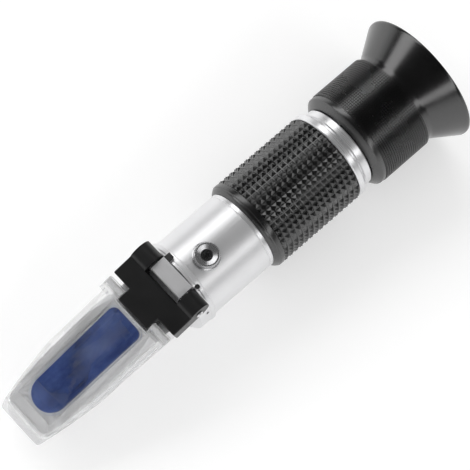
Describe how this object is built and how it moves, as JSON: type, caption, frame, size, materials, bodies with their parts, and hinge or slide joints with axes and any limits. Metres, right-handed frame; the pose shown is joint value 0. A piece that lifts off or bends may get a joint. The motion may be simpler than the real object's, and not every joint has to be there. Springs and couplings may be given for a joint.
{
  "type": "hand-held refractometer",
  "caption": "Hand-held refractometer: metal tube with rubber grip, turning eyepiece and eyecup, prism head, calibration screw and hinged clear daylight plate.",
  "frame": {"origin": "centre of the eyecup's rim, in the plane that touches the rim", "axes": "+X along the barrel from the eyecup to the prism's nose, +Z out of the side that carries the daylight plate, +Y completes the right-handed frame"},
  "size_m": [0.1695, 0.0456, 0.0456],
  "materials": {
    "tube_aluminium": "satin turned aluminium",
    "bright_aluminium": "bright turned aluminium",
    "head_metal": "satin cast and machined light alloy",
    "grip_rubber": "satin moulded rubber with square pyramid knurl",
    "cup_rubber": "smooth satin rubber",
    "black_ring": "black anodised, fine square knurl",
    "black_inside": "matt black inner finish",
    "inner_aluminium": "plain machined",
    "lens_glass": "clear polished glass",
    "prism_glass": "polished blue glass",
    "seal_compound": "pale sealing compound",
    "seal_rubber": "black rubber",
    "boss_chrome": "polished, dished face",
    "dark_screw": "blackened steel",
    "steel": "bright steel",
    "strip_brass": "rolled two-metal strip",
    "hinge_plastic": "satin black moulding",
    "clear_plastic": "clear moulded acrylic"
  },
  "bodies": {
    "barrel": {"main_tube": "tube_aluminium", "front_collar": "bright_aluminium", "grip_sleeve": "grip_rubber", "rear_collar": "bright_aluminium", "eyepiece_barrel": "bright_aluminium", "focus_key": "steel", "focus_seal": "seal_rubber", "reticle_cell": "black_inside", "reticle_glass": "lens_glass", "reticle_ring": "black_inside", "calibration_boss": "boss_chrome", "calibration_seal": "seal_rubber", "carrier_guide": "black_inside", "light_stop": "black_inside", "prism_housing": "head_metal", "prism_seal": "seal_compound", "main_prism": "prism_glass", "head_screws": "steel", "hinge_stop": "seal_rubber", "hinge_pin": "steel", "hinge_washers": "steel"},
    "eyepiece": {"lens_cell": "black_inside", "lens_retainer": "black_inside", "eye_lens": "lens_glass", "lens_spacer": "black_inside", "field_lens": "lens_glass"},
    "focus": {"focus_ring": "black_ring", "eyecup": "cup_rubber"},
    "screw": {"calibration_screw": "dark_screw"},
    "carrier": {"lens_carrier": "inner_aluminium", "bimetal_strip": "strip_brass", "strip_screws": "steel", "objective_cell": "black_inside", "objective_lens": "lens_glass"},
    "cover": {"hinge_bracket": "hinge_plastic", "plate_pin": "steel"},
    "plate": {"daylight_plate": "clear_plastic"}
  },
  "joints": [
    {"name": "cover_hinge", "type": "hinge", "parent": "barrel", "child": "cover", "pos_m": [0.1084, 0, 0.0123], "axis": [0, -1, 0], "range_deg": [0, 100]},
    {"name": "plate_float", "type": "hinge", "parent": "cover", "child": "plate", "pos_m": [0.12144, 0, 0.01051], "axis": [0, -1, 0], "range_deg": [0, 10]},
    {"name": "focus_travel", "type": "slide", "parent": "barrel", "child": "eyepiece", "axis": [-1, 0, 0], "range_m": [0, 0.00225]},
    {"name": "focus_turn", "type": "hinge", "parent": "eyepiece", "child": "focus", "pos_m": [0, 0, 0], "axis": [-1, 0, 0], "range_deg": [0, 270]},
    {"name": "calibration_turn", "type": "hinge", "parent": "barrel", "child": "screw", "pos_m": [0.095, 0.00183, 0.01388], "axis": [0, 0.1305, 0.9914], "range_deg": [-360, 360]},
    {"name": "carrier_shift", "type": "slide", "parent": "barrel", "child": "carrier", "axis": [0, 0.1305, 0.9914], "range_m": [-0.0005, 0.0005]}
  ],
  "couplings": [
    {"joint": "focus_turn", "follows": "focus_travel", "rad_per_m": 2094.2},
    {"joint": "calibration_turn", "follows": "carrier_shift", "rad_per_m": -12565}
  ]
}
